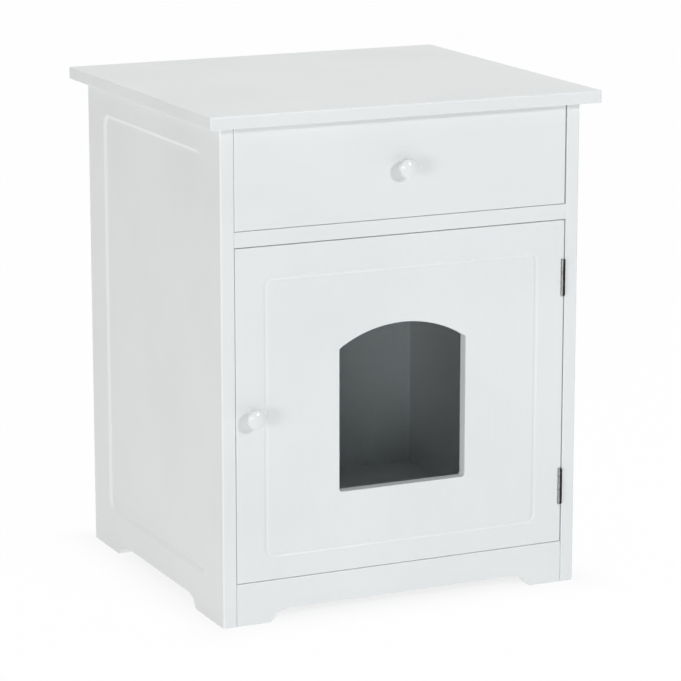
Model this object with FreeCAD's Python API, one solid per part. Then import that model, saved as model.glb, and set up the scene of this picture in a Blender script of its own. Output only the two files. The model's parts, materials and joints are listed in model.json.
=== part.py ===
import FreeCAD, Part
import math
import os

from FreeCAD import Placement, Rotation, Vector

os.makedirs("parts", exist_ok=True)

# Litter box enclosure: a free-standing painted cabinet, a drawer above a bay with an arched door.
# Millimetres. +X to the right, +Y to the back, +Z up, origin on the floor under the outline's middle.

# Outline
total_height = 640.0
top_width = 530.0
top_depth = 480.0
top_thickness = 16.0
top_edge_round = 2.0
overhang_front = 20.0
overhang_side = 20.0
overhang_back = 15.0

# Boards of the carcass
panel_thickness = 18.0
panel_edge_round = 2.5
shelf_thickness = 19.5
drawer_bay_height = 128.4       # shelf to top board
floor_thickness = 15.0
apron_thickness = 15.0
apron_height = 54.0
apron_end_gap = 0.4
back_thickness = 4.0
back_rebate = 8.0
board_edge_round = 1.0

# Feet: each cut-out ends in a small bulge and a shallow cove
side_foot_length = 88.0
apron_foot_length = 45.0
foot_height = 16.0
foot_step_width = 8.0
foot_step_height = 11.0
foot_step_bulge = 1.8
foot_cove_length = 22.0

# Sunk field of the side panels, inside its bevelled border
field_inset = 61.0
field_bottom = 58.0
field_top_inset = 42.0
field_depth = 3.0
field_bend = 11.0
field_bevel = 5.0               # border's width across the panel

# Routed line on the door
groove_width = 6.0
groove_depth = 1.0
groove_bend = 9.0
groove_inset = 40.0
groove_bottom_inset = 32.0

# Door
door_thickness = 15.0
door_gap_free = 0.7
door_gap_hinge = 1.4
door_gap_top = 0.9
door_gap_bottom = 0.5
door_edge_round = 1.5
opening_width = 174.0
opening_sill = 102.0            # door's lower edge to the opening
opening_head = 110.4            # arch's top to the door's upper edge
opening_rise = 26.5
opening_corner = 4.0

# Butt hinges: the frame leaf lies on the side panel, the door leaf is let into the door's edge
hinge_length = 45.5
hinge_inset = 51.0
leaf_thickness = 1.0
leaf_margin = 1.7               # leaf's edge to the door's back face
barrel_radius = 2.75
barrel_gap = 0.25               # barrel to the boards beside it
barrel_stand = 1.0              # barrel's axis in front of the door's face
knuckle_count = 5
knuckle_gap = 0.35
pin_radius = 1.2
pin_head_radius = 2.2
pin_head_height = 0.8
running_clearance = 0.05

# Knobs
knob_length = 20.0
knob_radius = 12.25
knob_base_radius = 7.0
knob_neck_radius = 5.5
knob_neck_length = 11.0
knob_rim = 6.0
door_knob_inset = 21.0
knob_bore_play = 2.0            # bore beyond the screw's tip

# Drawer
drawer_front_thickness = 15.0
drawer_gap_left = 0.5
drawer_gap_right = 1.8
drawer_gap_top = 0.6
drawer_gap_bottom = 0.5
drawer_side_thickness = 12.0
drawer_side_drop = 28.0         # sides' upper edge below the top board
drawer_back_gap = 31.0          # drawer's end to the back board
drawer_back_drop = 6.0          # back board lower than the sides
drawer_bottom_thickness = 3.2
drawer_bottom_lift = 10.0       # underside of the bottom over the sides' lower edge
drawer_bottom_groove = 6.0

# Drawer runners: a channel on the cabinet, a flange on the drawer, a roller on each
runner_space = 12.7             # side panel to drawer side
runner_back_gap = 23.0          # channel's end to the back board
runner_setback = 3.0            # behind the drawer front
runner_lift = 5.0               # channel over the shelf
runner_sheet = 1.2
runner_floor_gap = 2.5          # channel's floor to the drawer side
runner_roof_gap = 4.7           # channel's roof to the drawer side
runner_ledge_width = 11.0       # flange under the drawer side
runner_ledge_height = 6.0       # drawer side's lower edge over the channel's underside
roller_radius = 8.0
roller_width = 5.2
roller_inset = 10.0
roller_chamfer = 0.5
roller_play = 0.1
axle_radius = 2.0
axle_shoulder_radius = 3.2
axle_head = 0.8
flange_play = 0.95              # drawer flange to the channel's roof

# Magnetic catch under the shelf and its strike plate
catch_inset = 55.0
catch_length = 28.0
catch_ear = 10.0
catch_ear_thickness = 3.0
catch_depth = 13.0
catch_wall = 1.6
catch_base = 0.8                # housing under the lower pole plate
catch_drop = 12.0               # magnet's middle below the shelf
magnet_end_gap = 1.4
magnet_depth = 8.0
magnet_height = 4.0
pole_thickness = 1.2
pole_reach = 0.8                # pole plates in front of the housing
catch_gap = 0.3
strike_margin = 6.6             # strike plate beyond the pole plates
strike_height = 11.0
strike_thickness = 1.2

# Dowels, cam bolts and cams
dowel_radius = 4.0
dowel_in_face = 10.0
dowel_in_edge = 20.0
dowel_spacing = 32.0            # dowel to the cam bolt beside it
fixing_inset = 60.0             # cam bolt from the front or back of a board
bolt_radius = 2.5
bolt_rod_radius = 2.0
bolt_head_radius = 3.0
bolt_head_length = 6.0
bolt_in_face = 11.0
bolt_bore_radius = 3.6
cam_radius = 7.5
cam_reach = 34.0
cam_cover = 4.5                 # cam below the bolt's axis
drawer_cam_radius = 6.0
drawer_cam_reach = 24.0
drawer_cam_cover = 3.9
drawer_cam_lift = 11.0          # lower cam over the drawer's bottom
drawer_cam_drop = 25.0          # upper cam below the sides' upper edge
apron_cam_height = 24.0
apron_dowel_drop = 10.0         # below the apron's upper edge
fixing_clearance = 0.15
cam_throat_play = 0.6           # bolt head to the end of the cam's throat
cam_slot_reach = 3.5
cam_slot_depth = 1.5

# Screws: radius, length, head radius, head height
hinge_screw_radius = 1.25
hinge_screw_length = 12.0
hinge_screw_head = 2.4
hinge_screw_inset = 7.0         # from the leaf's end
back_screw_radius = 1.5
back_screw_length = 14.0
back_screw_head = 3.2
back_screw_head_height = 1.6
runner_screw_radius = 1.6
runner_screw_length = 10.0
runner_screw_head = 3.0
runner_screw_head_height = 1.1
catch_screw_radius = 1.5
catch_screw_length = 13.0
catch_screw_head = 2.9
catch_screw_head_height = 1.6
strike_screw_radius = 1.25
strike_screw_length = 10.0
strike_screw_head = 2.4
knob_screw_radius = 1.95
knob_screw_grip = 9.0           # length inside the knob
knob_screw_head = 4.2
knob_screw_head_height = 2.4
drawer_screw_radius = 1.75
drawer_screw_length = 34.0
drawer_screw_head = 3.4
drawer_screw_head_depth = 2.2
bottom_screw_radius = 1.25
bottom_screw_length = 14.0
bottom_screw_head = 2.6
bottom_screw_head_height = 1.3
slot_share = 0.55               # cross slot, of the head's radius
slot_depth_share = 0.45         # of the head's height
crown_share = 0.7               # flat crown of a pan head, of the head's radius

# Rows of screws, as shares of the board that they run along
runner_screw_rows = (0.15, 0.5, 0.85)
back_screw_rows = (0.08, 0.36, 0.64, 0.92)
back_screw_columns = (-0.5, 0.0, 0.5)
drawer_screw_rows = (0.35, 0.8)
bottom_screw_columns = (-0.7, 0.0, 0.7)

# Places worked out from the sizes
carcass_width = top_width - 2 * overhang_side
carcass_depth = top_depth - overhang_front - overhang_back
side_height = total_height - top_thickness
outer_x = carcass_width / 2
inner_x = outer_x - panel_thickness
front_reach = max(knob_length, overhang_front)
front_y = front_reach - (front_reach + carcass_depth + overhang_back) / 2
back_y = front_y + carcass_depth
back_face_y = back_y - back_thickness
shelf_top = side_height - drawer_bay_height
shelf_height = shelf_top - shelf_thickness
floor_under = apron_height - floor_thickness

door_left = -inner_x + door_gap_free
door_right = inner_x - door_gap_hinge
door_bottom = apron_height + door_gap_bottom
door_top = shelf_height - door_gap_top
door_back_y = front_y + door_thickness
door_middle_x = (door_left + door_right) / 2
opening_bottom = door_bottom + opening_sill
opening_spring = door_top - opening_head - opening_rise

drawer_left = -inner_x + drawer_gap_left
drawer_right = inner_x - drawer_gap_right
drawer_bottom_edge = shelf_top + drawer_gap_bottom
drawer_top_edge = side_height - drawer_gap_top
drawer_box_y = front_y + drawer_front_thickness
drawer_end_y = back_face_y - drawer_back_gap
drawer_side_length = drawer_end_y - drawer_box_y
drawer_outer_x = inner_x - runner_space
drawer_inner_x = drawer_outer_x - drawer_side_thickness
channel_under = shelf_top + runner_lift
drawer_side_under = channel_under + runner_ledge_height
drawer_side_top = side_height - drawer_side_drop
drawer_side_height = drawer_side_top - drawer_side_under
drawer_floor_under = drawer_side_under + drawer_bottom_lift
drawer_floor_top = drawer_floor_under + drawer_bottom_thickness

barrel_room = barrel_radius + barrel_gap
hinge_x = inner_x - barrel_room
hinge_y = front_y - barrel_stand
hinge_bottoms = {"lower": door_bottom + hinge_inset, "upper": door_top - hinge_inset - hinge_length}

FRONT = Vector(0, -1, 0)
BACK = Vector(0, 1, 0)
DOWN = Vector(0, 0, -1)
UP = Vector(0, 0, 1)
sides = {"left": -1, "right": 1}

holes = {}                      # board name to what is drilled out of it


# Shared helpers
def block(xs, ys, zs):
    low = Vector(min(xs), min(ys), min(zs))
    high = Vector(max(xs), max(ys), max(zs))
    size = high - low
    return Part.makeBox(size.x, size.y, size.z, low)


def rod(radius, start, end):
    return Part.makeCylinder(radius, (end - start).Length, start, end - start)


def place(shape, point, up):
    """Set a shape that was drawn upright on the origin at a point, with its +Z along up."""
    shape.Placement = Placement(point, Rotation(UP, up))
    return shape


def turned(edges_or_points):
    """Solid of revolution about Z; the outline is points (radius, height) or ready edges."""
    if isinstance(edges_or_points[0], tuple):
        corners = [Vector(radius, 0, height) for radius, height in edges_or_points]
        outline = Part.makePolygon(corners + corners[:1])
    else:
        outline = Part.Wire(edges_or_points)
    return Part.Face(outline).revolve(Vector(0, 0, 0), UP, 360)


def soften(shape, radius, chosen):
    return shape.makeFillet(radius, [edge for edge in shape.Edges if chosen(edge.CenterOfMass)])


def single(shape):
    """The one solid in a result of cuts or unions."""
    clean = shape.removeSplitter()
    return clean.Solids[0]


def drill(board, *cutters):
    holes.setdefault(board, []).extend(cutters)


def drilled(board, shape):
    return single(shape.cut(holes[board])) if board in holes else shape


def save(name, *solids):
    shape = solids[0] if len(solids) == 1 else Part.makeCompound(list(solids))
    shape.exportStep("parts/" + name + ".step")


def near(value, target):
    return abs(value - target) < 0.01


# Screws, drawn with the seat at the origin and the tip down
def cross_slot(reach, depth, top):
    bar = Part.makeBox(2 * reach, reach / 2, 2 * depth, Vector(-reach, -reach / 4, top - depth))
    return bar.fuse(bar.rotated(Vector(0, 0, 0), UP, 90))


def pan_screw(seat, out, radius, length, head, height):
    outline = [(0, -length), (radius, -length + 2 * radius), (radius, 0), (head, 0),
               (head, height / 2), (head * crown_share, height), (0, height)]
    slot = cross_slot(head * slot_share, height * slot_depth_share, height)
    return place(single(turned(outline).cut(slot)), seat, out)


def flat_outline(radius, length, head, depth):
    return turned([(0, -length), (radius, -length + 2 * radius), (radius, -depth), (head, 0), (0, 0)])


def flat_screw(seat, out, radius, length, head, depth):
    slot = cross_slot(head * slot_share, depth * slot_depth_share, 0)
    return place(single(flat_outline(radius, length, head, depth).cut(slot)), seat, out)


def flat_hole(seat, out, radius, length, head, depth):
    play = fixing_clearance
    return place(flat_outline(radius + play, length + play, head + play, depth), seat, out)


def screw_hole(seat, out, radius, length):
    return rod(radius + fixing_clearance, seat + out, seat - out * (length + fixing_clearance))


# Dowels and cams. A face board takes the pin's root, an edge board takes its far end.
dowels, bolts, cams = [], [], []
drawer_bolts, drawer_cams = [], []


def add_dowel(point, inward, face_board, edge_board):
    dowels.append(rod(dowel_radius, point - inward * dowel_in_face, point + inward * dowel_in_edge))
    wide = dowel_radius + fixing_clearance
    drill(face_board, rod(wide, point, point - inward * (dowel_in_face + fixing_clearance)))
    drill(edge_board, rod(wide, point, point + inward * (dowel_in_edge + fixing_clearance)))


def add_cam(point, inward, cam_out, half_board, face_board, edge_board, drawer=False):
    """A bolt from the face board into a cam that sits flush in the edge board's cam_out face."""
    radius, reach, cover = cam_radius, cam_reach, cam_cover
    if drawer:
        radius, reach, cover = drawer_cam_radius, drawer_cam_reach, drawer_cam_cover
    head_start = reach - bolt_head_length / 2
    head_end = reach + bolt_head_length / 2
    outline = [(0, -bolt_in_face), (bolt_radius, -bolt_in_face), (bolt_radius, 0), (bolt_rod_radius, 0),
               (bolt_rod_radius, head_start), (bolt_head_radius, head_start),
               (bolt_head_radius, head_end), (0, head_end)]
    bolt = place(turned(outline), point, inward)
    centre = point + inward * reach
    mouth = centre + cam_out * half_board
    depth = half_board + cover
    drum = rod(radius, mouth, mouth - cam_out * depth)
    throat = rod(bolt_bore_radius, centre - inward * 2 * radius, point + inward * (head_end + cam_throat_play))
    slot = place(cross_slot(cam_slot_reach, cam_slot_depth, 0), mouth, cam_out)
    (drawer_bolts if drawer else bolts).append(bolt)
    (drawer_cams if drawer else cams).append(single(drum.cut([throat, slot])))
    root = point - inward * (bolt_in_face + fixing_clearance)
    drill(face_board, rod(bolt_radius + fixing_clearance, point, root))
    drill(edge_board, rod(bolt_bore_radius, point, centre),
          rod(radius + fixing_clearance, mouth, mouth - cam_out * (depth + fixing_clearance)))


def add_pair(point, along, *joint):
    add_cam(point, *joint)
    add_dowel(point + along * dowel_spacing, joint[0], *joint[3:5])


for side, sign in sides.items():
    panel = side + "_side_panel"
    inward = Vector(-sign, 0, 0)
    for board, height, thickness, start_y in (
            ("drawer_shelf", shelf_height, shelf_thickness, front_y),
            ("floor_panel", floor_under, floor_thickness, front_y + apron_thickness)):
        middle = height + thickness / 2
        add_pair(Vector(sign * inner_x, start_y + fixing_inset, middle), BACK,
                 inward, DOWN, thickness / 2, panel, board)
        add_pair(Vector(sign * inner_x, back_face_y - fixing_inset, middle), FRONT,
                 inward, DOWN, thickness / 2, panel, board)
    middle_x = sign * (inner_x + panel_thickness / 2)
    for start_y, along in ((front_y + fixing_inset, BACK), (back_face_y - fixing_inset, FRONT)):
        add_pair(Vector(middle_x, start_y, side_height), along,
                 DOWN, inward, panel_thickness / 2, "top_board", panel)
    apron_y = front_y + apron_thickness / 2
    apron_x = sign * inner_x
    add_cam(Vector(apron_x, apron_y, apron_cam_height),
            inward, BACK, apron_thickness / 2, panel, "front_apron")
    add_dowel(Vector(apron_x, apron_y, apron_height - apron_dowel_drop), inward, panel, "front_apron")
    drawer_side = "drawer_" + side + "_side"
    drawer_middle_x = sign * (drawer_outer_x - drawer_side_thickness / 2)
    for height in (drawer_floor_top + drawer_cam_lift, drawer_side_top - drawer_cam_drop):
        add_cam(Vector(drawer_middle_x, drawer_box_y, height), BACK, inward, drawer_side_thickness / 2,
                "drawer_front", drawer_side, drawer=True)

save("panel_dowels", *dowels)
save("cam_bolts", *bolts)
save("cam_locks", *cams)
save("drawer_cam_bolts", *drawer_bolts)
save("drawer_cam_locks", *drawer_cams)


# Drawer runners, rollers and axles
def ring(outer, inner, width):
    edge = outer - roller_chamfer
    return turned([(inner, 0), (edge, 0), (outer, roller_chamfer), (outer, width - roller_chamfer),
                   (edge, width), (inner, width)])


channel_front = drawer_box_y + runner_setback
channel_back = back_face_y - runner_back_gap
runner_length = channel_back - channel_front
roller_z = channel_under + runner_sheet + running_clearance + roller_radius
flange_under = roller_z + roller_radius + 2 * running_clearance
flange_top = flange_under + runner_sheet
channel_roof = flange_top + flange_play
channel_top = channel_roof + runner_sheet
shoulder = (runner_space - 2 * runner_sheet - roller_width) / 2 - axle_head - 2 * roller_play
roller_ys = {"front": channel_front + roller_inset, "rear": drawer_end_y - roller_inset}
axles = {"front": [], "rear": []}
runner_screws = {"cabinet": [], "drawer": []}

for side, sign in sides.items():
    panel = side + "_side_panel"
    drawer_side = "drawer_" + side + "_side"
    cabinet_runner = side + "_cabinet_runner"
    drawer_runner = side + "_drawer_runner"
    wall_x = sign * inner_x
    web_x = sign * (inner_x - runner_sheet)
    box_x = sign * drawer_outer_x
    plate_x = sign * (drawer_outer_x + runner_sheet)
    run = (channel_front, channel_back)
    web = block((wall_x, web_x), run, (channel_under, channel_top))
    rail = block((wall_x, box_x + sign * runner_floor_gap), run, (channel_under, channel_under + runner_sheet))
    roof = block((wall_x, box_x + sign * runner_roof_gap), run, (channel_roof, channel_top))
    channel = single(web.multiFuse([rail, roof]))

    drawer_run = (drawer_box_y, drawer_end_y)
    plate = block((box_x, plate_x), drawer_run, (drawer_side_under - runner_sheet, flange_top))
    flange_edge = wall_x - sign * (runner_sheet + shoulder)
    flange = block((box_x, flange_edge), drawer_run, (flange_under, flange_top))
    ledge = block((plate_x, box_x - sign * runner_ledge_width), drawer_run,
                  (drawer_side_under - runner_sheet, drawer_side_under))
    slider = single(plate.multiFuse([flange, ledge]))

    for end, root_x, out, holder in (("front", wall_x, Vector(-sign, 0, 0), cabinet_runner),
                                     ("rear", box_x, Vector(sign, 0, 0), drawer_runner)):
        seat = Vector(root_x, roller_ys[end], roller_z)
        start = runner_sheet + shoulder
        end_of_shaft = start + roller_width + 2 * roller_play
        axle = [(0, 0), (axle_radius, 0), (axle_radius, runner_sheet), (axle_shoulder_radius, runner_sheet),
                (axle_shoulder_radius, start), (axle_radius, start), (axle_radius, end_of_shaft),
                (axle_shoulder_radius, end_of_shaft), (axle_shoulder_radius, end_of_shaft + axle_head),
                (0, end_of_shaft + axle_head)]
        axles[end].append(place(turned(axle), seat, out))
        roller = ring(roller_radius, axle_radius + running_clearance, roller_width)
        save(side + "_" + end + "_roller", place(roller, seat + out * (start + roller_play), out))
        drill(holder, rod(axle_radius + fixing_clearance, seat, seat + out * runner_sheet))

    for share in runner_screw_rows:
        seat = Vector(web_x, channel_front + share * runner_length, roller_z)
        out = Vector(-sign, 0, 0)
        runner_screws["cabinet"].append(pan_screw(seat, out, runner_screw_radius, runner_screw_length,
                                                  runner_screw_head, runner_screw_head_height))
        drill(panel, screw_hole(seat, out, runner_screw_radius, runner_screw_length))
        drill(cabinet_runner, screw_hole(seat, out, runner_screw_radius, runner_screw_length))
        seat = Vector(plate_x, drawer_box_y + share * drawer_side_length,
                      (drawer_side_under + drawer_floor_under) / 2)
        runner_screws["drawer"].append(pan_screw(seat, -out, runner_screw_radius, runner_screw_length,
                                                 runner_screw_head, runner_screw_head_height))
        drill(drawer_side, screw_hole(seat, -out, runner_screw_radius, runner_screw_length))
        drill(drawer_runner, screw_hole(seat, -out, runner_screw_radius, runner_screw_length))

    save(cabinet_runner, drilled(cabinet_runner, channel))
    save(drawer_runner, drilled(drawer_runner, slider))

save("cabinet_roller_axles", *axles["front"])
save("drawer_roller_axles", *axles["rear"])
save("cabinet_runner_screws", *runner_screws["cabinet"])
save("drawer_runner_screws", *runner_screws["drawer"])

# Door hinges: the frame leaf has the outer and middle knuckles, the door leaf those between
knuckle = (hinge_length - (knuckle_count - 1) * knuckle_gap) / knuckle_count
leaf_front = hinge_y + barrel_radius + knuckle_gap
leaf_back = door_back_y - leaf_margin
door_leaf_x = hinge_x - barrel_room
leaves = {"frame": (inner_x, -1, 0, "right_side_panel"), "door": (door_leaf_x, 1, 1, "door_panel")}
hinge_screws = {"frame": [], "door": []}

for name, bottom in hinge_bottoms.items():
    foot = Vector(hinge_x, hinge_y, bottom)
    spare = pin_head_height + barrel_gap
    drill("door_panel", block((door_leaf_x, door_right + 1), (front_y - 1, leaf_back + fixing_clearance),
                              (bottom - spare, bottom + hinge_length + spare)))
    for owner, (plate_x, toward, first, board) in leaves.items():
        plate_xs = (plate_x, plate_x + toward * leaf_thickness)
        pieces = [block(plate_xs, (leaf_front, leaf_back), (bottom, bottom + hinge_length))]
        for index in range(first, knuckle_count, 2):
            low = foot + UP * (index * (knuckle + knuckle_gap))
            pieces.append(rod(barrel_radius, low, low + UP * knuckle))
            pieces.append(block(plate_xs, (hinge_y, leaf_front), (low.z, low.z + knuckle)))
        bore = rod(pin_radius + running_clearance, foot - UP, foot + UP * (hinge_length + 1))
        leaf = pieces[0].multiFuse(pieces[1:]).cut(bore)
        out = Vector(toward, 0, 0)
        cutters = []
        for up in (hinge_screw_inset, hinge_length - hinge_screw_inset):
            seat = Vector(plate_xs[1], (leaf_front + leaf_back) / 2, bottom + up)
            size = (hinge_screw_radius, hinge_screw_length, hinge_screw_head, leaf_thickness)
            hinge_screws[owner].append(flat_screw(seat, out, *size))
            cutters.append(flat_hole(seat, out, *size))
        drill(board, *cutters)
        save(name + "_hinge_" + owner + "_leaf", single(leaf.cut(cutters)))
    pin = [(0, -pin_head_height), (pin_head_radius, -pin_head_height), (pin_head_radius, 0), (pin_radius, 0),
           (pin_radius, hinge_length), (pin_head_radius, hinge_length),
           (pin_head_radius, hinge_length + pin_head_height), (0, hinge_length + pin_head_height)]
    save(name + "_hinge_pin", place(turned(pin), foot, UP))

save("hinge_frame_screws", *hinge_screws["frame"])
save("hinge_door_screws", *hinge_screws["door"])


# Magnetic catch: housing, two pole plates with the magnet between them, strike plate on the door
catch_x = -inner_x + catch_inset
strike_y = door_back_y + strike_thickness
pole_front = strike_y + catch_gap
catch_front = pole_front + pole_reach
catch_back = catch_front + catch_depth
magnet_z = shelf_height - catch_drop
pole_length = catch_length - 2 * catch_wall
pole_back = catch_back - catch_wall - fixing_clearance
magnet_length = pole_length - 2 * magnet_end_gap
strike_length = pole_length + 2 * strike_margin
stack = magnet_height / 2 + pole_thickness
catch_under = magnet_z - stack - catch_base


def spread(length):
    return (catch_x - length / 2, catch_x + length / 2)


housing = block(spread(catch_length), (catch_front, catch_back), (catch_under, shelf_height))
housing = soften(housing, board_edge_round, lambda at: near(at.z, catch_under))
ears = block(spread(catch_length + 2 * catch_ear), (catch_front, catch_back),
             (shelf_height - catch_ear_thickness, shelf_height))
pocket = block(spread(pole_length), (catch_front - 1, catch_back - catch_wall),
               (magnet_z - stack - fixing_clearance, magnet_z + stack + fixing_clearance))
catch_screws = []
for side in (-1, 1):
    seat = Vector(catch_x + side * (catch_length + catch_ear) / 2, (catch_front + catch_back) / 2,
                  shelf_height - catch_ear_thickness)
    catch_screws.append(pan_screw(seat, DOWN, catch_screw_radius, catch_screw_length,
                                  catch_screw_head, catch_screw_head_height))
    for board in ("catch_housing", "drawer_shelf"):
        drill(board, screw_hole(seat, DOWN, catch_screw_radius, catch_screw_length))
save("catch_housing", drilled("catch_housing", housing.fuse(ears).cut(pocket)))
save("catch_screws", *catch_screws)

pole_span = spread(pole_length - 2 * fixing_clearance)
poles = []
for low in (magnet_z - stack, magnet_z + magnet_height / 2):
    poles.append(block(pole_span, (pole_front, pole_back), (low, low + pole_thickness)))
save("catch_pole_plates", *poles)
magnet_ys = (pole_back - magnet_depth, pole_back)
save("catch_magnet", block(spread(magnet_length), magnet_ys,
                           (magnet_z - magnet_height / 2, magnet_z + magnet_height / 2)))

strike = block(spread(strike_length), (door_back_y, strike_y),
               (magnet_z - strike_height / 2, magnet_z + strike_height / 2))
strike = soften(strike, board_edge_round, lambda at: near(abs(at.x - catch_x), strike_length / 2) and near(
    abs(at.z - magnet_z), strike_height / 2))
strike_screws = []
for side in (-1, 1):
    seat = Vector(catch_x + side * (pole_length + strike_length) / 4, strike_y, magnet_z)
    size = (strike_screw_radius, strike_screw_length, strike_screw_head, strike_thickness)
    strike_screws.append(flat_screw(seat, BACK, *size))
    for board in ("strike_plate", "door_panel"):
        drill(board, flat_hole(seat, BACK, *size))
save("strike_plate", drilled("strike_plate", strike))
save("strike_plate_screws", *strike_screws)


# Knobs
def knob_outline():
    """Flared base, waist, rounded rim and a shallow dome, as (radius, height) arcs about the axis."""
    base = Vector(knob_base_radius, 0, 0)
    waist = Vector(knob_neck_radius, 0, knob_neck_length / 2)
    under = Vector(knob_radius - knob_rim / 2, 0, knob_neck_length)
    rim = Vector(knob_radius, 0, knob_neck_length + knob_rim / 2)
    over = Vector(knob_radius - knob_rim / 4, 0, knob_neck_length + knob_rim)
    top = Vector(0, 0, knob_length)
    rise = top.z - over.z
    sphere = (rise ** 2 + over.x ** 2) / (2 * rise)
    turn = math.asin(over.x / sphere) / 2
    crown = Vector(sphere * math.sin(turn), 0, top.z - sphere * (1 - math.cos(turn)))
    return [Part.LineSegment(Vector(0, 0, 0), base).toShape(),
            Part.Arc(base, waist, under).toShape(),
            Part.Arc(under, rim, over).toShape(),
            Part.Arc(over, crown, top).toShape(),
            Part.LineSegment(top, Vector(0, 0, 0)).toShape()]


def add_knob(name, board, x, z, thickness):
    face = Vector(x, front_y, z)
    bore_end = Vector(0, 0, knob_screw_grip + knob_bore_play)
    bore = rod(knob_screw_radius + fixing_clearance, Vector(0, 0, -1), bore_end)
    save(name, place(single(turned(knob_outline()).cut(bore)), face, FRONT))
    seat = face + BACK * thickness
    length = thickness + knob_screw_grip
    save(name + "_screw", pan_screw(seat, BACK, knob_screw_radius, length, knob_screw_head,
                                    knob_screw_head_height))
    drill(board, screw_hole(seat, BACK, knob_screw_radius, length))


add_knob("door_knob", "door_panel", door_left + door_knob_inset, (door_bottom + door_top) / 2, door_thickness)
add_knob("drawer_knob", "drawer_front", (drawer_left + drawer_right) / 2,
         (drawer_bottom_edge + drawer_top_edge) / 2, drawer_front_thickness)


# Routed line, sunk field and cut-outs
def groove_loop(corners):
    """Round-nosed cutter carried round a rectangle; corners lie where its centre runs."""
    cutter = (groove_width ** 2 / 4 + groove_depth ** 2) / (2 * groove_depth)
    pieces = []
    for index, here in enumerate(corners):
        ahead = corners[(index + 1) % len(corners)] - here
        behind = here - corners[index - 1]
        along = Vector(ahead).normalize()
        before = Vector(behind).normalize()
        pieces.append(rod(cutter, here + along * groove_bend, here + ahead - along * groove_bend))
        bend_start = here - before * groove_bend
        disc = Part.Face(Part.Wire(Part.makeCircle(cutter, bend_start, before)))
        pieces.append(disc.revolve(bend_start + along * groove_bend, before.cross(along), 90))
    return pieces[0].multiFuse(pieces[1:])


def groove_lift():
    """How far the cutter's centre runs outside the face."""
    return (groove_width ** 2 / 4 - groove_depth ** 2) / (2 * groove_depth)


def field_cutter(sign):
    """Cutter for the sunk field; its bevel runs on past the panel's face."""
    loops = []
    for face_x, spread in ((outer_x + field_depth, 2 * field_bevel), (outer_x - field_depth, 0)):
        x = sign * face_x
        slab = block((x, x + 1), (front_y + field_inset - spread, back_y - field_inset + spread),
                     (field_bottom - spread, side_height - field_top_inset + spread))
        slab = soften(slab, field_bend + spread, lambda at: near(at.x, x + 0.5))
        loops += [face.OuterWire for face in slab.Faces if near(face.CenterOfMass.x, x)]
    return Part.makeLoft(loops, True, True)


def foot_cutter(start, end, point, across):
    """Cut-out between two feet; point(u, z) places its outline, which is carried along across."""
    bulge_from = Vector(0, 0, 0)
    bulge_to = Vector(foot_step_width, 0, foot_step_height)
    chord = bulge_to - bulge_from
    middle = (bulge_from + bulge_to) / 2 + Vector(chord.z, 0, -chord.x).normalize() * foot_step_bulge
    rise = foot_height - foot_step_height
    cove = (foot_cove_length ** 2 + rise ** 2) / (2 * rise)
    half_turn = math.asin(foot_cove_length / cove) / 2
    cove_end = Vector(foot_step_width + foot_cove_length, 0, foot_height)
    cove_middle = cove_end - Vector(cove * math.sin(half_turn), 0, cove * (1 - math.cos(half_turn)))

    def left(at):
        return point(start + at.x, at.z)

    def right(at):
        return point(end - at.x, at.z)

    below = Vector(0, 0, -foot_height)
    edges = [Part.Arc(left(bulge_from), left(middle), left(bulge_to)),
             Part.Arc(left(bulge_to), left(cove_middle), left(cove_end)),
             Part.LineSegment(left(cove_end), right(cove_end)),
             Part.Arc(right(cove_end), right(cove_middle), right(bulge_to)),
             Part.Arc(right(bulge_to), right(middle), right(bulge_from)),
             Part.LineSegment(right(bulge_from), right(below)),
             Part.LineSegment(right(below), left(below)),
             Part.LineSegment(left(below), left(bulge_from))]
    return Part.Face(Part.Wire([edge.toShape() for edge in edges])).extrude(across)


# Thin back board and its screws
back_half = inner_x + back_rebate - fixing_clearance
back_screws = []
row_heights = [floor_under + share * (side_height - floor_under) for share in back_screw_rows]
for side, sign in sides.items():
    for height in row_heights:
        back_screws.append((Vector(sign * (inner_x + back_rebate / 2), back_y, height), side + "_side_panel"))
for board, height in (("drawer_shelf", shelf_height + shelf_thickness / 2),
                      ("floor_panel", floor_under + floor_thickness / 2)):
    for share in back_screw_columns:
        back_screws.append((Vector(share * inner_x, back_y, height), board))
for seat, board in back_screws:
    for holder in (board, "back_panel"):
        drill(holder, screw_hole(seat, BACK, back_screw_radius, back_screw_length))
save("back_panel_screws", *[pan_screw(seat, BACK, back_screw_radius, back_screw_length, back_screw_head,
                                      back_screw_head_height) for seat, board in back_screws])
back = block((-back_half, back_half), (back_face_y, back_y), (floor_under, side_height))
save("back_panel", drilled("back_panel", back))


# Boards of the carcass
top = block((-top_width / 2, top_width / 2), (front_y - overhang_front, back_y + overhang_back),
            (side_height, total_height))
top = soften(top, top_edge_round, lambda at: True)
save("top_board", drilled("top_board", top))

for side, sign in sides.items():
    panel = block((sign * inner_x, sign * outer_x), (front_y, back_y), (0, side_height))
    panel = soften(panel, panel_edge_round,
                   lambda at: near(at.x, sign * outer_x) and near(at.z, side_height / 2))
    panel = soften(panel, board_edge_round, lambda at: near(at.x, sign * inner_x) and near(at.y, front_y))
    rebate = block((sign * (inner_x - 1), sign * (inner_x + back_rebate)), (back_face_y, back_y + 1),
                   (floor_under, side_height + 1))
    feet = foot_cutter(front_y + side_foot_length, back_y - side_foot_length,
                       lambda along, z: Vector(sign * (outer_x + 1), along, z),
                       Vector(-sign * (panel_thickness + 2), 0, 0))
    name = side + "_side_panel"
    save(name, drilled(name, panel.cut([rebate, feet, field_cutter(sign)])))

floor = block((-inner_x, inner_x), (front_y + apron_thickness, back_face_y), (floor_under, apron_height))
save("floor_panel", drilled("floor_panel", floor))

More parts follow.
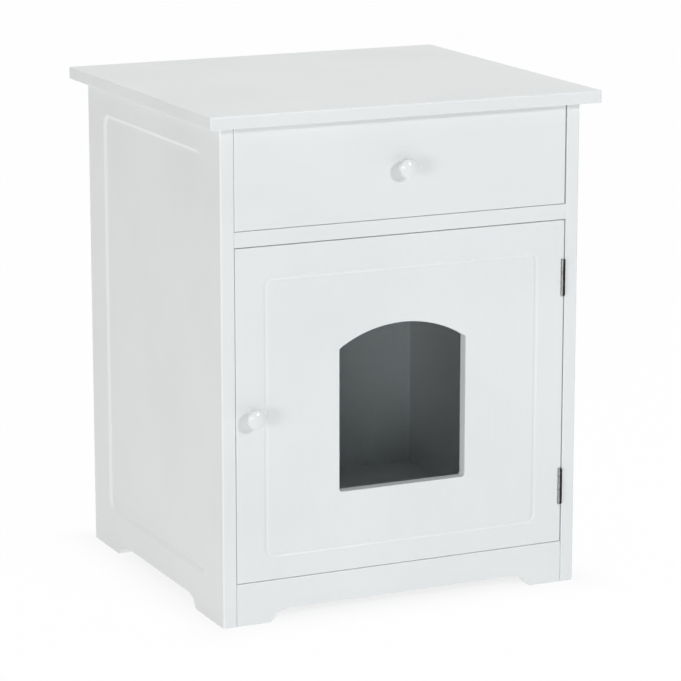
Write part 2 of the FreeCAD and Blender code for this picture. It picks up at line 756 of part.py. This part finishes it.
shelf = block((-inner_x, inner_x), (front_y, back_face_y), (shelf_height, shelf_top))
shelf = soften(shelf, board_edge_round, lambda at: near(at.y, front_y) and near(at.x, 0))
save("drawer_shelf", drilled("drawer_shelf", shelf))

apron_half = inner_x - apron_end_gap
apron = block((-apron_half, apron_half), (front_y, front_y + apron_thickness), (0, apron_height))
apron = soften(apron, board_edge_round, lambda at: near(at.y, front_y) and at.z > 0.01)
feet = foot_cutter(-inner_x + apron_foot_length, inner_x - apron_foot_length,
                   lambda along, z: Vector(along, front_y - 1, z), Vector(0, apron_thickness + 2, 0))
save("front_apron", drilled("front_apron", apron.cut(feet)))


# Door
def opening_void():
    """Arched opening with rounded rims: what a straight-sided slot and a round hole have in common."""
    half = opening_width / 2
    radius = (half ** 2 + opening_rise ** 2) / (2 * opening_rise)
    margin = 2 * board_edge_round
    top = opening_spring + opening_rise
    low, high = opening_bottom - margin, top + margin
    sides = (door_middle_x - half - margin, door_middle_x + half + margin)
    depth = (front_y, door_back_y)

    def on_rim(at):
        inside = abs(at.x - door_middle_x) < half + 0.01 and low + 0.01 < at.z < high - 0.01
        return inside and (near(at.y, front_y) or near(at.y, door_back_y))

    slot = block((door_middle_x - half, door_middle_x + half), depth, (opening_bottom, high))
    slot = soften(slot, opening_corner,
                  lambda at: near(at.z, opening_bottom) and near(abs(at.x - door_middle_x), half))
    hole = Part.makeCylinder(radius, door_thickness, Vector(door_middle_x, front_y, top - radius), BACK)
    jambs = soften(block(sides, depth, (low, high)).cut(slot), board_edge_round, on_rim)
    lintel = soften(block(sides, depth, (top - radius, high)).cut(hole), board_edge_round, on_rim)
    return block(sides, depth, (low, high)).cut([jambs, lintel])


door = block((door_left, door_right), (front_y, door_back_y), (door_bottom, door_top))
door = soften(door, door_edge_round, lambda at: near(at.y, front_y))
line_y = front_y - groove_lift()
low, high = door_bottom + groove_bottom_inset, door_top - groove_inset
first_x, last_x = door_left + groove_inset, door_right - groove_inset
groove = groove_loop([Vector(first_x, line_y, low), Vector(last_x, line_y, low),
                      Vector(last_x, line_y, high), Vector(first_x, line_y, high)])
save("door_panel", drilled("door_panel", door.cut([groove, opening_void()])))


# Drawer box
drawer_front = block((drawer_left, drawer_right), (front_y, drawer_box_y),
                     (drawer_bottom_edge, drawer_top_edge))
drawer_front = soften(drawer_front, door_edge_round, lambda at: near(at.y, front_y))
tray_half = drawer_inner_x + drawer_bottom_groove - fixing_clearance
tray_ys = (drawer_box_y - drawer_bottom_groove + fixing_clearance, drawer_end_y)
tray_zs = (drawer_floor_under, drawer_floor_top)
tray = block((-tray_half, tray_half), tray_ys, tray_zs)
slot_half = tray_half + fixing_clearance
slot_zs = (drawer_floor_under - fixing_clearance, drawer_floor_top + fixing_clearance)
slot = block((-slot_half, slot_half), (drawer_box_y - drawer_bottom_groove, drawer_end_y + 1), slot_zs)

rear = block((-drawer_inner_x, drawer_inner_x), (drawer_end_y - drawer_side_thickness, drawer_end_y),
             (drawer_floor_top, drawer_side_top - drawer_back_drop))
back_screw_ys = drawer_end_y - drawer_side_thickness / 2
corner_screws = []
for side, sign in sides.items():
    out = Vector(sign, 0, 0)
    for share in drawer_screw_rows:
        seat = Vector(sign * drawer_outer_x, back_screw_ys, drawer_side_under + share * drawer_side_height)
        size = (drawer_screw_radius, drawer_screw_length, drawer_screw_head, drawer_screw_head_depth)
        corner_screws.append(flat_screw(seat, out, *size))
        for board in ("drawer_" + side + "_side", "drawer_back"):
            drill(board, flat_hole(seat, out, *size))
save("drawer_back_screws", *corner_screws)

bottom_screws = []
for share in bottom_screw_columns:
    seat = Vector(share * drawer_inner_x, back_screw_ys, drawer_floor_under)
    bottom_screws.append(pan_screw(seat, DOWN, bottom_screw_radius, bottom_screw_length, bottom_screw_head,
                                   bottom_screw_head_height))
    for board in ("drawer_bottom", "drawer_back"):
        drill(board, screw_hole(seat, DOWN, bottom_screw_radius, bottom_screw_length))
save("drawer_bottom_screws", *bottom_screws)

save("drawer_front", drilled("drawer_front", drawer_front.cut(slot)))
save("drawer_bottom", drilled("drawer_bottom", tray))
save("drawer_back", drilled("drawer_back", rear))
for side, sign in sides.items():
    wall = block((sign * drawer_inner_x, sign * drawer_outer_x), (drawer_box_y, drawer_end_y),
                 (drawer_side_under, drawer_side_top))
    name = "drawer_" + side + "_side"
    save(name, drilled(name, wall.cut(slot)))
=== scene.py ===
import json
import math

import bpy
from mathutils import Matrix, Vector

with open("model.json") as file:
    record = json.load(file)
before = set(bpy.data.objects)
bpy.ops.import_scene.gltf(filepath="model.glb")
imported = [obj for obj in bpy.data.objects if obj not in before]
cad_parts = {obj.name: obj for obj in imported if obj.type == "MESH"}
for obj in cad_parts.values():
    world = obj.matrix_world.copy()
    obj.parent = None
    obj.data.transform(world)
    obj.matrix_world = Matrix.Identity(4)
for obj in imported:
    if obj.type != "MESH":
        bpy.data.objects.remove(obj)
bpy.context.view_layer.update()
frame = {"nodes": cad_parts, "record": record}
nodes = frame["nodes"]


# A Wire is one socket of a node tree, so that shader maths reads as plain expressions
class Wire:
    def __init__(self, tree, socket):
        self.tree = tree
        self.socket = socket

    def maths(self, operation, other=None, swapped=False):
        node = self.tree.nodes.new("ShaderNodeMath")
        node.operation = operation
        pair = (other, self) if swapped else (self, other)
        for slot, value in zip(node.inputs, pair):
            plug(self.tree, slot, value)
        return Wire(self.tree, node.outputs[0])

    def __add__(self, other):
        return self.maths("ADD", other)

    def __sub__(self, other):
        return self.maths("SUBTRACT", other)

    def __rsub__(self, other):
        return self.maths("SUBTRACT", other, True)

    def __mul__(self, other):
        return self.maths("MULTIPLY", other)

    __radd__ = __add__
    __rmul__ = __mul__

    def atMost(self, other):
        return self.maths("MINIMUM", other)

    def atLeast(self, other):
        return self.maths("MAXIMUM", other)

    def size(self):
        return self.maths("ABSOLUTE")


def plug(tree, slot, value):
    if isinstance(value, Wire):
        tree.links.new(value.socket, slot)
    elif value is not None:
        slot.default_value = value


def rgba(colour):
    return (*colour, 1.0)


# A Finish builds one node tree: a material's, or the world's
class Finish:
    def __init__(self, owner):
        owner.use_nodes = True
        self.owner = owner
        self.tree = owner.node_tree
        self.tree.nodes.clear()

    def add(self, kind, settings=None, values=None, out=0):
        node = self.tree.nodes.new(kind)
        for name, value in (settings or {}).items():
            setattr(node, name, value)
        for name, value in (values or {}).items():
            plug(self.tree, node.inputs[name], value)
        return Wire(self.tree, node.outputs[out]) if node.outputs else None

    def place(self):
        return self.add("ShaderNodeTexCoord", out="Object")

    def outward(self):                                        # the surface's own normal
        return self.add("ShaderNodeTexCoord", out="Normal")

    def parts(self, vector):                                  # x, y and z of a vector
        split = self.add("ShaderNodeSeparateXYZ", None, {"Vector": vector}).socket.node.outputs
        return [Wire(self.tree, socket) for socket in split]

    def stretched(self, scale):
        return self.add("ShaderNodeMapping", None, {"Vector": self.place(), "Scale": scale})

    def noise(self, where, scale, detail=2.0, rough=0.5, twist=0.0):
        return self.add("ShaderNodeTexNoise", None, {"Vector": where, "Scale": scale, "Detail": detail,
                                                     "Roughness": rough, "Distortion": twist}, "Fac")

    def ease(self, value, low, high, start=0.0, end=1.0):     # smooth step from start to end
        return self.add("ShaderNodeMapRange", {"interpolation_type": "SMOOTHSTEP"},
                        {"Value": value, "From Min": low, "From Max": high, "To Min": start, "To Max": end})

    def blend(self, share, first, second):                    # colour mix, share 0 gives the first
        return self.add("ShaderNodeMix", {"data_type": "RGBA"}, {0: share, 6: first, 7: second}, 2)

    def rounded(self):                                        # 0 on flat axis-aligned faces, 1 on rounded edges
        x, y, z = (part.size() for part in self.parts(self.outward()))
        return self.ease(1.0 - x.atLeast(y).atLeast(z), 0.01, 0.2)

    def facing(self, direction):                              # cosine between the surface and a direction
        return self.add("ShaderNodeVectorMath", {"operation": "DOT_PRODUCT"},
                        {0: self.outward(), 1: direction}, "Value")

    def bump(self, height, depth, under=None):
        return self.add("ShaderNodeBump", None, {"Height": height, "Strength": 1.0, "Distance": depth,
                                                 "Normal": under})

    def surface(self, sockets):
        shader = self.add("ShaderNodeBsdfPrincipled", None, sockets)
        self.add("ShaderNodeOutputMaterial", None, {"Surface": shader})
        return self.owner


def material(name):
    return Finish(bpy.data.materials.new(name))


# Satin white paint on fibreboard: roller streaks along the board, fine orange peel, glossier edges, and a painted
# highlight that lightens the rounded edges and bevels
paint = {"colour": (0.794, 0.807, 0.812), "shade": (0.765, 0.780, 0.786), "edge": (0.88, 0.887, 0.885),
         "cloudScale": 5.0, "cloudShare": 0.8, "streakAndPaintedReflectionShare": 0.2, "shadeFrom": 0.35, "shadeTo": 0.7,
         "streakAcross": 240.0, "streakAlong": 5.0, "streakDepth": 0.00002, "peelScale": 620.0, "peelDepth": 0.00004,
         "roughness": 0.28, "cloudRough": 0.10, "peelRough": 0.06, "edgeGloss": 0.05}


def paintedBoard(name, along, edgeShare):
    finish = material(name)
    here = finish.place()
    scale = [paint["streakAcross"]] * 3
    scale[along] = paint["streakAlong"]
    streaks = finish.noise(finish.stretched(scale), 1.0, 3.0, 0.6)
    clouds = finish.noise(here, paint["cloudScale"], 3.0, 0.55)
    peel = finish.noise(here, paint["peelScale"], 2.0, 0.5)
    edge = finish.rounded()
    cover = clouds * paint["cloudShare"] + streaks * paint["streakAndPaintedReflectionShare"]
    body = finish.blend(finish.ease(cover, paint["shadeFrom"], paint["shadeTo"]),
                        rgba(paint["colour"]), rgba(paint["shade"]))
    normal = finish.bump(streaks, paint["streakDepth"])
    normal = finish.bump(peel, paint["peelDepth"], normal)
    rough = paint["roughness"] + clouds * paint["cloudRough"] + peel * paint["peelRough"]
    return finish.surface({
        # painted highlight: rounded edges and bevels are lightened towards the edge colour by the edge share
        "Base Color": finish.blend(edge * edgeShare, body, rgba(paint["edge"])),
        "Roughness": rough - edge * paint["edgeGloss"],
        "Normal": normal})


# White faced hardboard and drawer boards: a dull printed foil with a fine pearl texture; the hardboard's foil
# carries a painted blue-green shade tint
foil = {"pearlScale": 900.0, "pearlDepth": 0.00003, "fleckScale": 160.0, "fleckFrom": 0.4, "fleckTo": 0.75,
        "fleckRough": 0.12}
# painted shade tint: the back foil's light blue-green colour sets the slate tone of the shaded inside of the bay
backFoil = {"colour": (0.84, 0.895, 0.905), "shade": (0.81, 0.865, 0.875), "roughness": 0.49}
drawerFoil = {"colour": (0.83, 0.845, 0.845), "shade": (0.80, 0.815, 0.815), "roughness": 0.36}


def facedBoard(name, look):
    finish = material(name)
    here = finish.place()
    pearl = finish.noise(here, foil["pearlScale"], 3.0, 0.6)
    fleck = finish.noise(here, foil["fleckScale"], 4.0, 0.65)
    return finish.surface({
        "Base Color": finish.blend(finish.ease(fleck, foil["fleckFrom"], foil["fleckTo"]),
                                   rgba(look["colour"]), rgba(look["shade"])),
        "Roughness": look["roughness"] + fleck * foil["fleckRough"],
        "Normal": finish.bump(pearl, foil["pearlDepth"])})


# Gloss white lacquer on turned knobs
lacquer = {"colour": (0.80, 0.808, 0.805), "shade": (0.77, 0.78, 0.78), "cloudScale": 60.0, "roughness": 0.16,
           "cloudRough": 0.06, "coat": 0.5, "coatRoughness": 0.05, "dimpleScale": 420.0, "dimpleDepth": 0.00003}


def glossLacquer(name):
    finish = material(name)
    here = finish.place()
    dimple = finish.noise(here, lacquer["dimpleScale"], 2.0, 0.4)
    clouds = finish.noise(here, lacquer["cloudScale"], 2.0, 0.5)
    return finish.surface({
        "Base Color": finish.blend(clouds, rgba(lacquer["colour"]), rgba(lacquer["shade"])),
        "Roughness": lacquer["roughness"] + clouds * lacquer["cloudRough"],
        "Coat Weight": lacquer["coat"], "Coat Roughness": lacquer["coatRoughness"],
        "Normal": finish.bump(dimple, lacquer["dimpleDepth"])})


# Plated metals: drawn lines along one axis, cloudy plating, and a painted dark reflection that darkens the colour
# where the surface faces a set direction
plating = {"drawnStretch": 40, "drawnRough": 0.08, "drawnDepth": 0.000012, "cloudScale": 180.0, "cloudRough": 0.16,
           "cloudFrom": 0.35, "cloudTo": 0.72, "paintedReflectionFrom": 0.45, "paintedReflectionTo": 0.9}
# Nickel: the near-black dark colour and the 0.95 share paint a dark reflection where the plating faces the front;
# zinc's share is 0, so zinc has none
nickel = {"colour": (0.50, 0.495, 0.48), "dark": (0.022, 0.022, 0.021), "roughness": 0.10, "drawnAcross": 2600.0,
          "cloudShare": 0.30, "streakAndPaintedReflectionShare": 0.95, "paintedReflectionToward": (0.17, -0.985, 0.0)}
zinc = {"colour": (0.66, 0.67, 0.69), "dark": (0.50, 0.51, 0.53), "roughness": 0.22, "drawnAcross": 1800.0,
        "cloudShare": 1.0, "streakAndPaintedReflectionShare": 0.0, "paintedReflectionToward": (0.0, -1.0, 0.0)}


def platedMetal(name, look, along):
    finish = material(name)
    here = finish.place()
    scale = [look["drawnAcross"]] * 3
    scale[along] = look["drawnAcross"] / plating["drawnStretch"]
    drawn = finish.noise(finish.stretched(scale), 1.0, 2.0, 0.5)
    clouds = finish.noise(here, plating["cloudScale"], 4.0, 0.6, 0.4)
    # painted reflection: Base Color darkens where the surface faces the set direction
    paintedReflection = finish.ease(finish.facing(look["paintedReflectionToward"]), plating["paintedReflectionFrom"], plating["paintedReflectionTo"])
    dullAndPaintedReflection = finish.ease(clouds, plating["cloudFrom"], plating["cloudTo"]) * look["cloudShare"]
    dullAndPaintedReflection = (dullAndPaintedReflection + paintedReflection * look["streakAndPaintedReflectionShare"]).atMost(1.0)
    return finish.surface({
        "Base Color": finish.blend(dullAndPaintedReflection, rgba(look["colour"]), rgba(look["dark"])),
        "Metallic": 1.0,
        "Roughness": look["roughness"] + clouds * plating["cloudRough"] + drawn * plating["drawnRough"],
        "Normal": finish.bump(drawn, plating["drawnDepth"])})


# White epoxy on rolled steel: powder coat with a leathery skin
epoxy = {"colour": (0.80, 0.80, 0.79), "shade": (0.76, 0.76, 0.75), "cloudScale": 30.0, "skinScale": 480.0,
         "skinDepth": 0.00006, "roughness": 0.27, "skinRough": 0.14}


def powderCoat(name):
    finish = material(name)
    here = finish.place()
    skin = finish.noise(here, epoxy["skinScale"], 3.0, 0.55, 0.6)
    clouds = finish.noise(here, epoxy["cloudScale"], 3.0, 0.5)
    return finish.surface({
        "Base Color": finish.blend(clouds, rgba(epoxy["colour"]), rgba(epoxy["shade"])),
        "Roughness": epoxy["roughness"] + skin * epoxy["skinRough"],
        "Normal": finish.bump(skin, epoxy["skinDepth"])})


# Moulded plastics: sparked tool texture and flow clouds
moulding = {"flowScale": 90.0, "flowFrom": 0.3, "flowTo": 0.7, "grainRough": 0.14, "grainDepth": 0.00003}
nylon = {"colour": (0.74, 0.73, 0.68), "shade": (0.66, 0.65, 0.60), "roughness": 0.35, "grainScale": 1500.0}
styrene = {"colour": (0.80, 0.80, 0.78), "shade": (0.75, 0.75, 0.73), "roughness": 0.31, "grainScale": 1100.0}


def mouldedPlastic(name, look):
    finish = material(name)
    here = finish.place()
    grain = finish.noise(here, look["grainScale"], 2.0, 0.6)
    flow = finish.noise(here, moulding["flowScale"], 3.0, 0.5, 1.2)
    return finish.surface({
        "Base Color": finish.blend(finish.ease(flow, moulding["flowFrom"], moulding["flowTo"]),
                                   rgba(look["colour"]), rgba(look["shade"])),
        "Roughness": look["roughness"] + grain * moulding["grainRough"],
        "Normal": finish.bump(grain, moulding["grainDepth"])})


# Bare beech: growth bands, short dark rays and pores
beech = {"pale": (0.62, 0.43, 0.26), "deep": (0.47, 0.29, 0.15), "ray": (0.34, 0.19, 0.09), "rayShare": 0.7,
         "bandStretch": (60.0, 60.0, 420.0), "rayStretch": (240.0, 1500.0, 1500.0), "poreDepth": 0.00008,
         "roughness": 0.58, "bandRough": 0.12}


def bareBeech(name):
    finish = material(name)
    bands = finish.noise(finish.stretched(beech["bandStretch"]), 1.0, 3.0, 0.6, 0.5)
    rays = finish.ease(finish.noise(finish.stretched(beech["rayStretch"]), 1.0, 2.0, 0.5), 0.6, 0.75)
    wood = finish.blend(finish.ease(bands, 0.3, 0.7), rgba(beech["pale"]), rgba(beech["deep"]))
    return finish.surface({
        "Base Color": finish.blend(rays * beech["rayShare"], wood, rgba(beech["ray"])),
        "Roughness": beech["roughness"] + bands * beech["bandRough"],
        "Normal": finish.bump(bands - rays, beech["poreDepth"])})


# Sintered ferrite: dark, dull and grainy
ferrite = {"colour": (0.055, 0.055, 0.06), "fleck": (0.12, 0.12, 0.125), "grainScale": 1800.0, "grainDepth": 0.00005,
           "roughness": 0.62, "grainRough": 0.15}


def sinteredFerrite(name):
    finish = material(name)
    grain = finish.noise(finish.place(), ferrite["grainScale"], 3.0, 0.6)
    return finish.surface({
        "Base Color": finish.blend(finish.ease(grain, 0.5, 0.75), rgba(ferrite["colour"]), rgba(ferrite["fleck"])),
        "Roughness": ferrite["roughness"] + grain * ferrite["grainRough"],
        "Normal": finish.bump(grain, ferrite["grainDepth"])})


acrossX, upZ = 0, 2
# The side panels carry the strongest painted edge highlight, the level boards a light one, the door none
paintAlongX = paintedBoard("satin_paint_level", along=acrossX, edgeShare=0.25)
paintAlongZ = paintedBoard("satin_paint_upright", along=upZ, edgeShare=0.0)
paintOnSides = paintedBoard("satin_paint_sides", along=upZ, edgeShare=0.8)
finishes = {
    "painted_board": paintAlongX,
    "back_board": facedBoard("faced_hardboard", backFoil),
    "drawer_board": facedBoard("faced_drawer_board", drawerFoil),
    "gloss_knob": glossLacquer("gloss_lacquer"),
    "nickel_hinge": platedMetal("nickel_plate", nickel, upZ),
    "white_runner": powderCoat("white_epoxy"),
    "roller_plastic": mouldedPlastic("moulded_nylon", nylon),
    "zinc_fixing": platedMetal("zinc_plate", zinc, acrossX),
    "beech_dowel": bareBeech("bare_beech"),
    "catch_plastic": mouldedPlastic("moulded_styrene", styrene),
    "ferrite_magnet": sinteredFerrite("sintered_ferrite"),
}
uprightBoards = {"left_side_panel": paintOnSides, "right_side_panel": paintOnSides, "door_panel": paintAlongZ}

for part in frame["record"]["subparts"]:
    name = part["node"]
    mesh = nodes[name].data
    mesh.materials.clear()
    mesh.materials.append(uprightBoards.get(name) or finishes[part["material_slot"]])
print("finishes:", len(bpy.data.materials))


# Floor and white surround. The floor shows its shadow mostly under the cabinet and is nearly white further out;
# glow is the share of that white which lights the cabinet from below.
stageLook = {"floorSize": 16.0, "floorColour": (0.94, 0.94, 0.95), "white": (1, 1, 1), "footprint": (0.245, 0.22),
             "shadowUnder": 0.46, "shadowAround": 0.02, "fadeFrom": -0.12, "fadeTo": 0.07, "glow": 0.66}
skyLook = {"low": 0.0, "high": 0.55, "riseFrom": 0.1, "riseTo": 0.8, "warm": (1.0, 0.99, 0.975),
           "cool": (0.96, 0.99, 1.0)}


def seenDirectly(finish):            # 1 for rays from the camera, off gloss and through glass
    outputs = finish.add("ShaderNodeLightPath").socket.node.outputs
    direct, gloss, clear = (Wire(finish.tree, outputs[name])
                            for name in ("Is Camera Ray", "Is Glossy Ray", "Is Transmission Ray"))
    return (direct + gloss + clear).atMost(1.0)


half = stageLook["floorSize"] / 2
floorMesh = bpy.data.meshes.new("floor")
floorMesh.from_pydata([(-half, -half, 0), (half, -half, 0), (half, half, 0), (-half, half, 0)], [], [(0, 1, 2, 3)])
floor = bpy.data.objects.new("floor", floorMesh)
bpy.context.scene.collection.objects.link(floor)

finish = material("pale_floor")
spans = zip(finish.parts(finish.place()), stageLook["footprint"])
outX, outY = (part.size() - reach for part, reach in spans)      # how far outside the cabinet's footprint
lit = finish.add("ShaderNodeBsdfDiffuse", None, {"Color": rgba(stageLook["floorColour"])})
bare = finish.add("ShaderNodeEmission", None, {"Color": rgba(stageLook["white"]), "Strength": 1.0})
fade = finish.ease(outX.atLeast(outY), stageLook["fadeFrom"], stageLook["fadeTo"],
                   1.0 - stageLook["shadowUnder"], 1.0 - stageLook["shadowAround"])
share = fade * seenDirectly(finish).atLeast(stageLook["glow"])
whole = finish.add("ShaderNodeMixShader", None, {0: share, 1: lit, 2: bare})
finish.add("ShaderNodeOutputMaterial", None, {"Surface": whole})
floorMesh.materials.append(finish.owner)

world = bpy.data.worlds.new("studio")
bpy.context.scene.world = world
finish = Finish(world)
east, north, high = finish.parts(finish.add("ShaderNodeTexCoord", out="Generated"))
tint = finish.blend(finish.ease(east - north, -1.0, 1.0), rgba(skyLook["warm"]), rgba(skyLook["cool"]))
sky = finish.add("ShaderNodeBackground", None, {
    "Color": tint,
    "Strength": finish.ease(high, skyLook["riseFrom"], skyLook["riseTo"], skyLook["low"], skyLook["high"])})
white = finish.add("ShaderNodeBackground", None, {"Color": rgba(stageLook["white"]), "Strength": 1.0})
both = finish.add("ShaderNodeMixShader", None, {0: seenDirectly(finish), 1: sky, 2: white})
finish.add("ShaderNodeOutputWorld", None, {"Surface": both})

# Soft boxes: where each stands, its side in metres, its power and colour; all face the same point
boxAim = (0, 0, 0.3)
softBoxes = {
    "key": {"at": (1.45, -3.7, 2.1), "side": 0.5, "watts": 51, "colour": (0.955, 0.988, 1.0)},
    "fill": {"at": (-3.0, -6.8, 0.8), "side": 1.6, "watts": 42, "colour": (0.95, 0.985, 1.0)},
    "side": {"at": (-6.0, -3.2, 0.6), "side": 2.0, "watts": 150, "colour": (1.0, 0.99, 0.975)},
    "over": {"at": (0, 0.1, 3.0), "side": 1.6, "watts": 20, "colour": (1.0, 0.995, 0.985)},
}
for name, box in softBoxes.items():
    lamp = bpy.data.lights.new(name, "AREA")
    lamp.shape = "SQUARE"
    lamp.size = box["side"]
    lamp.energy = box["watts"]
    lamp.color = box["colour"]
    holder = bpy.data.objects.new(name, lamp)
    bpy.context.scene.collection.objects.link(holder)
    holder.location = box["at"]
    toward = Vector(boxAim) - Vector(box["at"])
    holder.rotation_euler = toward.to_track_quat("-Z", "Y").to_euler()
    holder.visible_camera = False
print("stage and lights ready")

# Camera at the photograph's viewing angle
view = {"at": (-1.701, -3.6845, 1.222), "pitch": -12.86, "yaw": -24.99, "focalPixels": 3192.0, "imagePixels": 681,
        "sensor": 36.0}
lens = bpy.data.cameras.new("camera")
lens.sensor_width = view["sensor"]
lens.lens = view["focalPixels"] / view["imagePixels"] * view["sensor"]
camera = bpy.data.objects.new("camera", lens)
camera.location = view["at"]
camera.rotation_euler = (math.radians(90 + view["pitch"]), 0, math.radians(view["yaw"]))
bpy.context.scene.collection.objects.link(camera)
bpy.context.scene.camera = camera
bpy.context.scene.view_settings.view_transform = "Standard"
